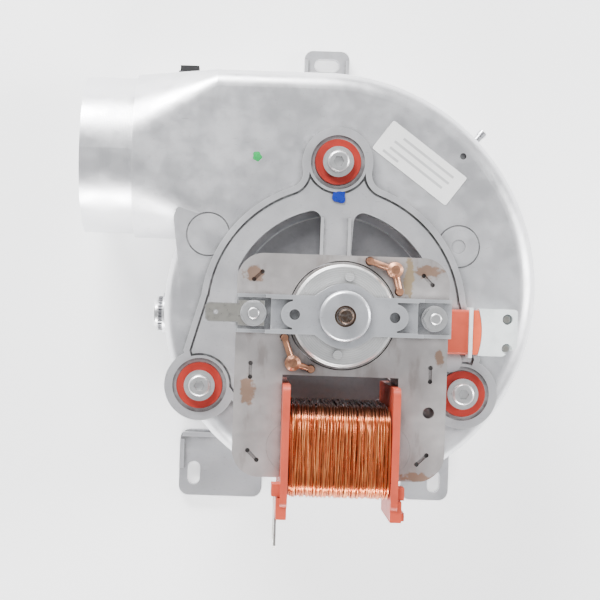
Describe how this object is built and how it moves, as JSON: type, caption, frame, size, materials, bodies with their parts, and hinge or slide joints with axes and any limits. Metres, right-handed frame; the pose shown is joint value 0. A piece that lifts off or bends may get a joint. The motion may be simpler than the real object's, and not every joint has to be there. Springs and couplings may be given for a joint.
{
  "type": "boiler flue fan",
  "caption": "Centrifugal flue-gas fan with a cast scroll, round outlet spigot, rear inlet mouth and an open shaded-pole motor on soft mounts.",
  "frame": {"origin": "point where the rotation axis meets the mounting face of the back cover", "axes": "+Z along the shaft from the inlet to the motor, -X out of the outlet spigot, +Y from the shaft towards the spigot"},
  "size_m": [0.1706, 0.186, 0.1243],
  "materials": {
    "scroll_alloy": "as-cast, spigot turned",
    "cover_alloy": "as-cast",
    "support_alloy": "as-cast",
    "bridge_alloy": "as-cast, tumbled",
    "gasket_paper": "matte",
    "zinc_steel": "bright zinc",
    "dark_steel": "blackened",
    "black_rubber": "matte",
    "nipple_steel": "drawn",
    "label_film": "satin film",
    "red_silicone": "satin",
    "lamination_steel": "stamped edge",
    "core_steel": "stamped edge",
    "shading_copper": "bare copper",
    "winding_copper": "enamelled copper wire",
    "red_nylon": "satin moulded",
    "orange_seal": "satin",
    "white_nylon": "satin moulded",
    "tinned_metal": "tinned",
    "cage_alloy": "die-cast",
    "ground_steel": "ground",
    "spacer_nylon": "moulded",
    "sintered_bronze": "oil-filled sintered",
    "spring_steel": "rolled",
    "graphite_seal": "matte",
    "fan_sheet": "dull grey",
    "hub_steel": "turned",
    "impeller_sheet": "aluminised sheet"
  },
  "bodies": {
    "root": {"back_cover": "cover_alloy", "bearing_retainers": "spring_steel", "blank_label": "label_film", "bobbin": "red_nylon", "coil_core": "core_steel", "connector_contacts": "tinned_metal", "connector_holder": "red_nylon", "connector_seal": "orange_seal", "connector_shell": "white_nylon", "cover_screws": "zinc_steel", "duct_plug": "black_rubber", "earth_tab": "tinned_metal", "front_bearing": "sintered_bronze", "front_bridge": "bridge_alloy", "grommet_screws": "zinc_steel", "grommet_sleeves": "zinc_steel", "grommet_washers": "zinc_steel", "grommets": "red_silicone", "housing_gasket": "gasket_paper", "motor_bolts": "zinc_steel", "motor_nuts": "zinc_steel", "motor_support": "support_alloy", "pressure_nipple": "nipple_steel", "rear_bearing": "sintered_bronze", "rear_bridge": "bridge_alloy", "scroll_housing": "scroll_alloy", "shading_rings": "shading_copper", "shaft_seal": "graphite_seal", "stator_stack": "lamination_steel", "test_plug": "dark_steel", "test_plug_cap": "zinc_steel", "winding": "winding_copper", "winding_terminals": "tinned_metal"},
    "rotor": {"shaft": "ground_steel", "rotor_core": "lamination_steel", "rotor_cage": "cage_alloy", "rotor_spacers": "spacer_nylon", "cooling_fan": "fan_sheet", "impeller_hub": "hub_steel", "impeller_back": "impeller_sheet", "impeller_blades": "impeller_sheet", "impeller_shroud": "impeller_sheet", "impeller_nut": "zinc_steel", "impeller_washer": "zinc_steel"}
  },
  "joints": [
    {"name": "rotor_spin", "type": "hinge", "parent": "root", "child": "rotor", "pos_m": [0, 0, 0.09], "axis": [0, 0, 1], "continuous": true}
  ]
}
